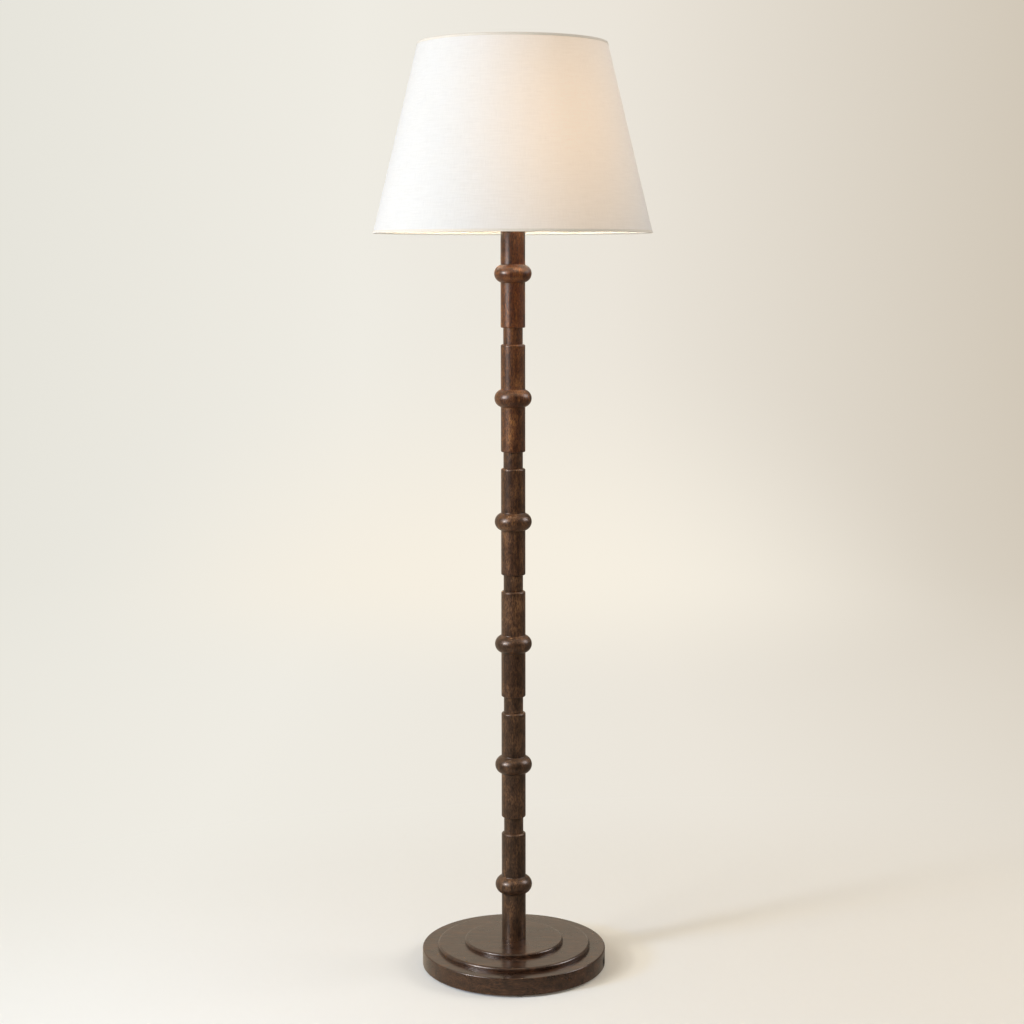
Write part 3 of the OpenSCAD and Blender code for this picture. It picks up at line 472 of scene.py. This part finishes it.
for number, share in enumerate(UPPER_SHARES, start=1):
    frame["nodes"][f"column_section_{number}"].data.materials[0] = stained_wood(
        f"stained wood, section {number}",
        grain="z",
        shift=tuple(step * number for step in SECTION_CUT),
        tones=between(LOWER_TONES, UPPER_TONES, share),
        fibre_length=4.0,
        coat=0.3,
        painted_top_light=0.9,
        satin=0.3,
    )

for number, disc in enumerate(("base_disc_lower", "base_disc_middle", "base_disc_top")):
    frame["nodes"][disc].data.materials[0] = stained_wood(
        f"stained wood, {disc}",
        grain="x",
        shift=tuple(step * number for step in DISC_CUT),
        tones=BASE_TONES,
        fibre_length=10.0,
        coat=1.0,
        painted_top_light=0.0,
        satin=0.25,
    )


# ---- the shade ----

SHADE_LOW = 1218.0 * MM
SHADE_HIGH = 1522.8 * MM
RADIUS_LOW = 226.5 * MM
RADIUS_HIGH = 153.0 * MM
CUT_BACK = 0.75 * MM  # the cloth stops this far short of each rim, under the tape
SHEET_ROWS = 12
WRAP_STEPS = 160
CLOTH = 0.6 * MM
GLUE = 0.05 * MM
LINING = 1.0 * MM
LAP_WIDTH = 12 * MM
LAP_PROUD = 0.4 * MM
LAP_THICK = 0.45 * MM  # a little into the cloth below, so that no gap shows
LAP_STEPS = 4
WIRE = 2.0 * MM  # radius of the bottom ring's wire
WIRE_SIDES = 16
WIRE_INSET = 4.5 * MM
WIRE_RISE = 2.7 * MM
TAPE_PROUD = 0.55 * MM
TAPE_INSIDE = 2.2 * MM
OUTER_LEAF = 4.2 * MM
INNER_LEAF = 3.0 * MM
OUTER_THICK = 0.5 * MM
INNER_THICK = 0.4 * MM
FOLD_RISE = 0.8 * MM  # where the hollow between the two leaves starts
ROLL_STEPS = 8
ROLL_HEIGHT = 0.8  # a rolled edge is a half-round, pressed to this part of its height

LINEN_TONES = [(0.32, "#d3d4d5"), (0.5, "#d9dadb"), (0.68, "#dedfe0")]
# The tapes are drawn a little warmer than the linen, standing in for the lamp's warm light on them.
TAPE_TONES = [(0.32, "#d3cec7"), (0.5, "#d9d4cc"), (0.68, "#ded9d1")]


def shade_radius(z):
    """Outer radius of the cloth at a height."""
    return RADIUS_LOW + (RADIUS_HIGH - RADIUS_LOW) * (z - SHADE_LOW) / (SHADE_HIGH - SHADE_LOW)


def spun(profile, angle=math.tau, steps=WRAP_STEPS, start=0.0):
    """Spins a closed profile of (radius, z) points round the lamp's axis. Start 0 faces the camera."""
    mesh = bmesh.new()
    turn = Matrix.Rotation(start, 3, "Z")
    line = [mesh.verts.new(turn @ Vector((0.0, -radius, z))) for radius, z in profile]
    edges = [mesh.edges.new(pair) for pair in zip(line, line[1:] + line[:1])]
    bmesh.ops.spin(
        mesh,
        geom=line + edges,
        axis=(0, 0, 1),
        cent=(0, 0, 0),
        angle=angle,
        steps=steps,
        use_merge=angle == math.tau,
    )
    bmesh.ops.recalc_face_normals(mesh, faces=mesh.faces)
    return mesh


def lay_flat(mesh):
    """The cloth's own UV map: metres round the shade, from its front, and metres up it."""
    uv = mesh.loops.layers.uv.new("UVMap")
    middle = (RADIUS_LOW + RADIUS_HIGH) / 2
    slope = math.hypot(RADIUS_LOW - RADIUS_HIGH, SHADE_HIGH - SHADE_LOW) / (SHADE_HIGH - SHADE_LOW)
    for face in mesh.faces:
        centre = face.calc_center_median()
        facing = math.atan2(centre.x, -centre.y)
        for loop in face.loops:
            turn = math.atan2(loop.vert.co.x, -loop.vert.co.y)
            turn += math.tau * round((facing - turn) / math.tau)
            loop[uv].uv = (turn * middle, (loop.vert.co.z - SHADE_LOW) * slope)


def sheet_profile(proud, thick):
    """Both faces of a sheet that stands proud of the shade's outside, from rim to rim."""
    low, high = SHADE_LOW + CUT_BACK, SHADE_HIGH - CUT_BACK
    rows = [low + (high - low) * row / SHEET_ROWS for row in range(SHEET_ROWS + 1)]
    outside = [(shade_radius(z) + proud, z) for z in rows]
    inside = [(shade_radius(z) + proud - thick, z) for z in reversed(rows)]
    return outside + inside


def tape_profile(rim, inward):
    """Linen tape rolled over a rim: a half-round edge between a taller outer and a shorter inner leaf."""
    half = (TAPE_PROUD + TAPE_INSIDE) / 2
    middle = (TAPE_PROUD - TAPE_INSIDE) / 2
    points = [(TAPE_PROUD, OUTER_LEAF)]
    for step in range(ROLL_STEPS + 1):
        turn = math.pi * step / ROLL_STEPS
        points.append((middle + half * math.cos(turn), half * (1 - math.sin(turn)) * ROLL_HEIGHT))
    points.append((-TAPE_INSIDE, INNER_LEAF))
    points.append((-TAPE_INSIDE + INNER_THICK, INNER_LEAF))
    points.append((-TAPE_INSIDE + INNER_THICK, FOLD_RISE))
    points.append((TAPE_PROUD - OUTER_THICK, FOLD_RISE))
    points.append((TAPE_PROUD - OUTER_THICK, OUTER_LEAF))
    return [(shade_radius(rim + inward * rise) + out, rim + inward * rise) for out, rise in points]


linen = shade_linen("white linen", LINEN_TONES, through=0.1, glow=0.36)
cover = spun(sheet_profile(0.0, CLOTH))
lay_flat(cover)
shade_piece("shade_linen", cover, linen, "linen", "shade_cover")

# The cloth laps over itself at the back of the shade
lap_angle = LAP_WIDTH / shade_radius((SHADE_LOW + SHADE_HIGH) / 2)
lap = spun(sheet_profile(LAP_PROUD, LAP_THICK), lap_angle, LAP_STEPS, start=math.pi)
bmesh.ops.holes_fill(lap, edges=[edge for edge in lap.edges if edge.is_boundary])
bmesh.ops.recalc_face_normals(lap, faces=lap.faces)
lay_flat(lap)
shade_piece("shade_seam", lap, linen, "linen")

lining = spun(sheet_profile(-CLOTH - GLUE, LINING))
shade_piece("shade_lining", lining, SLOT_FINISHES["styrene"], "styrene", "shade_liner")

wire_radius = shade_radius(SHADE_LOW) - WIRE_INSET
wire_height = SHADE_LOW + WIRE_RISE
wire_turns = [math.tau * side / WIRE_SIDES for side in range(WIRE_SIDES)]
wire_profile = [
    (wire_radius + WIRE * math.cos(turn), wire_height + WIRE * math.sin(turn)) for turn in wire_turns
]
wire = spun(wire_profile)
shade_piece("shade_bottom_wire", wire, SLOT_FINISHES["white_wire"], "white_wire", "shade_bottom_ring")

for rim, height, inward in (("top", SHADE_HIGH, -1), ("bottom", SHADE_LOW, 1)):
    tape = spun(tape_profile(height, inward))
    lay_flat(tape)
    finish = shade_linen(f"white linen tape, {rim}", TAPE_TONES, through=0.04, glow=0.0)
    shade_piece(f"shade_{rim}_tape", tape, finish, "linen_trim", f"shade_{rim}_trim")


# ---- the studio ----

BACKDROP_RADIUS = 5.2
COVE = 1.2
WALL_TOP = 4.5
COVE_STEPS = 16
ROUND_STEPS = 96
# Round the lamp the paper takes real light and shadow, and this ellipse fades into the painted paper
LIT_MIDDLE = (0.45, -0.2, 0.0)
LIT_REACH = (1.9, 1.2, 1.0)
# The painted paper's tones over this far to the left and right of the lamp, paler on the left as
# painted light from the lamps on that side
TONE_REACH = 2.2
PAPER_TONES = [(0.0, "#e6e4db"), (0.35, "#efece3"), (0.6, "#ebe5da"), (1.0, "#d0c6b6")]
# The pool of light behind the column: how far back and up it lies, and its reach to each side and in depth
POOL_TONE = "#f6efe1"
POOL_BACK = 4.0
POOL_WIDE = 1.25
POOL_DEEP = 1.6
# Painted reflection: how bright glossy rays see the paper on the camera's side and behind the lamp,
# how much of that is left on the right, as painted shade beside the base, and how far the line
# between left and right leans back
MIRROR_TONE = "#eddcc4"
FRONT_GLARE = 0.06
BACK_GLARE = 0.58
RIGHT_GLARE = 0.34
RIGHT_LEAN = -0.25


def backdrop():
    """A round sheet of pale paper that curves up into a wall, open to the sky light."""
    flat = BACKDROP_RADIUS - COVE
    points = [(0.0, 0.0), (flat, 0.0)]
    for step in range(1, COVE_STEPS + 1):
        turn = math.pi / 2 * step / COVE_STEPS
        points.append((flat + COVE * math.sin(turn), COVE - COVE * math.cos(turn)))
    points.append((BACKDROP_RADIUS, WALL_TOP))
    paper = bmesh.new()
    profile = [paper.verts.new((x, 0.0, z)) for x, z in points]
    edges = [paper.edges.new(pair) for pair in zip(profile, profile[1:])]
    bmesh.ops.spin(
        paper,
        geom=profile + edges,
        axis=(0, 0, 1),
        cent=(0, 0, 0),
        angle=math.tau,
        steps=ROUND_STEPS,
        use_merge=True,
    )
    bmesh.ops.remove_doubles(paper, verts=paper.verts, dist=MM)
    bmesh.ops.recalc_face_normals(paper, faces=paper.faces)
    bmesh.ops.reverse_faces(paper, faces=paper.faces)
    data = bpy.data.meshes.new("backdrop")
    paper.to_mesh(data)
    paper.free()
    for face in data.polygons:
        face.use_smooth = True
    sheet = bpy.data.objects.new("backdrop", data)
    scene.collection.objects.link(sheet)
    return sheet


def cream_paper():
    """Cream paper. Near the lamp it is lit and holds the shadow.

    Further off the camera sees it at a plain level, with painted light: paler on the left, where the
    lamps stand, and in a soft painted pool of light behind the column. Glossy rays see a plain painted
    reflection everywhere, dimmer in front of the lamp, and on its right dimmer still as painted shade
    beside the base. From below the paper is clear, so that the lamp's underside can be seen.
    """
    material, tree = blank_material("cream paper")
    place = add(tree, "TexCoord").outputs["Object"]
    axes = add(tree, "SeparateXYZ", {"Vector": place}).outputs
    lit = add(tree, "BsdfDiffuse", {"Color": linear("#eae5da")}).outputs[0]

    across = {"Value": axes["X"], "From Min": -TONE_REACH, "From Max": TONE_REACH}
    across = add(tree, "MapRange", across).outputs[0]
    cream = add(tree, "ValToRGB", {"Fac": across}, stops=PAPER_TONES).outputs[0]
    back = add(tree, "Math", {0: axes["Y"], 1: axes["Z"]}, operation="ADD").outputs[0]
    pool_x = add(tree, "Math", {0: axes["X"], 1: POOL_WIDE}, operation="DIVIDE").outputs[0]
    pool_y = add(tree, "Math", {0: back, 1: -POOL_BACK}, operation="ADD").outputs[0]
    pool_y = add(tree, "Math", {0: pool_y, 1: POOL_DEEP}, operation="DIVIDE").outputs[0]
    pool = add(tree, "CombineXYZ", {"X": pool_x, "Y": pool_y}).outputs[0]
    reach = add(tree, "VectorMath", {0: pool}, operation="LENGTH").outputs["Value"]
    pool = add(
        tree,
        "MapRange",
        {"Value": reach, "From Min": 0.2, "From Max": 1.4, "To Min": 1.0, "To Max": 0.0},
        interpolation_type="SMOOTHSTEP",
    ).outputs[0]
    seen_tone = {"Fac": pool, "Color1": cream, "Color2": linear(POOL_TONE)}
    seen_tone = add(tree, "MixRGB", seen_tone).outputs[0]

    away = add(tree, "VectorMath", {0: place, 1: LIT_MIDDLE}, operation="SUBTRACT").outputs[0]
    away = add(tree, "VectorMath", {0: away, 1: LIT_REACH}, operation="DIVIDE").outputs[0]
    away = add(tree, "VectorMath", {0: away}, operation="LENGTH").outputs["Value"]
    far = add(
        tree,
        "MapRange",
        {"Value": away, "From Min": 0.25, "From Max": 1.0, "To Min": 0.1},
        interpolation_type="SMOOTHSTEP",
    ).outputs[0]

    glare = add(
        tree,
        "MapRange",
        {"Value": axes["Y"], "From Min": -2.4, "From Max": 0.8, "To Min": FRONT_GLARE, "To Max": BACK_GLARE},
        interpolation_type="SMOOTHSTEP",
    ).outputs[0]
    right = {0: axes["Y"], 1: RIGHT_LEAN, 2: axes["X"]}
    right = add(tree, "Math", right, operation="MULTIPLY_ADD").outputs[0]
    kept = add(
        tree,
        "MapRange",
        {"Value": right, "From Min": -0.1, "From Max": 0.3, "To Min": 1.0, "To Max": RIGHT_GLARE},
        interpolation_type="SMOOTHSTEP",
    ).outputs[0]
    glare = add(tree, "Math", {0: glare, 1: kept}, operation="MULTIPLY").outputs[0]

    rays = add(tree, "LightPath").outputs
    glossy = rays["Is Glossy Ray"]
    strength = add(tree, "Mix", {0: glossy, 2: 1.0, 3: glare}).outputs[0]
    tone = {"Fac": glossy, "Color1": seen_tone, "Color2": linear(MIRROR_TONE)}
    tone = add(tree, "MixRGB", tone).outputs[0]
    painted = add(tree, "Emission", {"Color": tone, "Strength": strength}).outputs[0]
    seen = {0: rays["Is Camera Ray"], 1: rays["Is Transmission Ray"]}
    seen = add(tree, "Math", seen, operation="MAXIMUM").outputs[0]
    share = add(tree, "Math", {0: seen, 1: far}, operation="MULTIPLY").outputs[0]
    share = add(tree, "Math", {0: share, 1: glossy}, operation="MAXIMUM").outputs[0]
    paper = add(tree, "MixShader", {0: share, 1: lit, 2: painted}).outputs[0]
    under = add(tree, "NewGeometry").outputs["Backfacing"]
    clear = add(tree, "BsdfTransparent").outputs[0]
    shader = add(tree, "MixShader", {0: under, 1: paper, 2: clear})
    add(tree, "OutputMaterial", {"Surface": shader.outputs[0]})
    return material


backdrop().data.materials.append(cream_paper())

world = bpy.data.worlds.new("studio")
world.use_nodes = True
world.node_tree.nodes.clear()
sky = add(world.node_tree, "Background", {"Color": linear("#f3e3cc"), "Strength": 0.55})
add(world.node_tree, "OutputWorld", {"Surface": sky.outputs[0]})
scene.world = world


def soft_box(name, *, azimuth, height, distance, aim, size, watts, colour):
    """A rectangular lamp that faces the axis at height aim.

    Azimuth 0 is the camera's side, and 90 the right.
    """
    light = bpy.data.lights.new(name, "AREA")
    light.shape = "RECTANGLE"
    light.size, light.size_y = size
    light.energy = watts
    light.color = linear(colour)[:3]
    lamp = bpy.data.objects.new(name, light)
    scene.collection.objects.link(lamp)
    turn = math.radians(azimuth)
    lamp.location = Vector((math.sin(turn) * distance, -math.cos(turn) * distance, height))
    lamp.rotation_euler = (Vector((0, 0, aim)) - lamp.location).to_track_quat("-Z", "Y").to_euler()
    lamp.visible_camera = False
    return lamp


soft_box(
    "window", azimuth=-55, height=1.9, distance=2.6, aim=0.95, size=(1.5, 1.6), watts=56, colour="#f0f5fb"
)
soft_box("sun", azimuth=-60, height=1.7, distance=3.0, aim=0.6, size=(0.3, 0.3), watts=26, colour="#fbf8f2")
soft_box("fill", azimuth=94, height=2.4, distance=3.0, aim=0.7, size=(1.6, 1.6), watts=42, colour="#f8f8fb")

# The low side light that draws the base's shadow on the paper is cool, which leaves the shadow warm
paper_only = bpy.data.collections.new("paper alone")
paper_only.objects.link(scene.objects["backdrop"])
low_sky = soft_box(
    "low sky", azimuth=-62, height=1.05, distance=3.0, aim=0, size=(0.5, 0.3), watts=52, colour="#78b8ff"
)
low_sky.light_linking.receiver_collection = paper_only

BULB_CENTRE = (0, 0, 1368.3 * MM)
BULB_RADIUS = 28 * MM


def collected(name, wanted):
    """A collection of the meshes whose names pass the test."""
    group = bpy.data.collections.new(name)
    for solid in scene.objects:
        if solid.type == "MESH" and wanted(solid.name):
            group.objects.link(solid)
    return group


# The globe casts no shadow from its own light
all_but_bulb = collected("not the bulb", lambda name: not name.startswith("bulb"))
round_bulb = collected("round the bulb", lambda name: name.startswith(("shade_", "harp", "finial")))


def bulb_light(name, watts, colour, lit=None):
    """A light as wide as the bulb's globe, which falls on the lit pieces alone if they are given."""
    light = bpy.data.lights.new(name, "POINT")
    light.energy = watts
    light.color = linear(colour)[:3]
    light.shadow_soft_size = BULB_RADIUS
    lamp = bpy.data.objects.new(name, light)
    lamp.location = BULB_CENTRE
    lamp.visible_camera = False
    lamp.light_linking.blocker_collection = all_but_bulb
    if lit:
        lamp.light_linking.receiver_collection = lit
    scene.collection.objects.link(lamp)


# The shade takes far more of the bulb's light than the column, which stands in the socket's shadow
bulb_light("bulb light", 1.3, "#ffd2a0")
bulb_light("bulb light in the shade", 3.2, "#fff1df", lit=round_bulb)


# ---- the camera ----

# A best fit to the rings, the rims of the base and the rims of the shade, in pixels, metres and radians
PICTURE = 1024
FOCAL = 1909.5
CENTRE_X = 513.1
CENTRE_Y = 420.96
DISTANCE = 3.1131
EYE = 1.1777
TILT = 0.085
ROLL = -0.0015
SENSOR = 36.0

view = bpy.data.cameras.new("camera")
view.sensor_width = SENSOR
view.lens = FOCAL * SENSOR / PICTURE
view.shift_x = -(CENTRE_X - PICTURE / 2) / PICTURE
view.shift_y = (CENTRE_Y - PICTURE / 2) / PICTURE
view.clip_start = 0.05
view.clip_end = 60
camera = bpy.data.objects.new("camera", view)
camera.matrix_world = (
    Matrix.Translation((0, -DISTANCE, EYE))
    @ Matrix.Rotation(math.pi / 2 - TILT, 4, "X")
    @ Matrix.Rotation(ROLL, 4, "Z")
)
scene.collection.objects.link(camera)
scene.camera = camera
scene.view_settings.view_transform = "Standard"
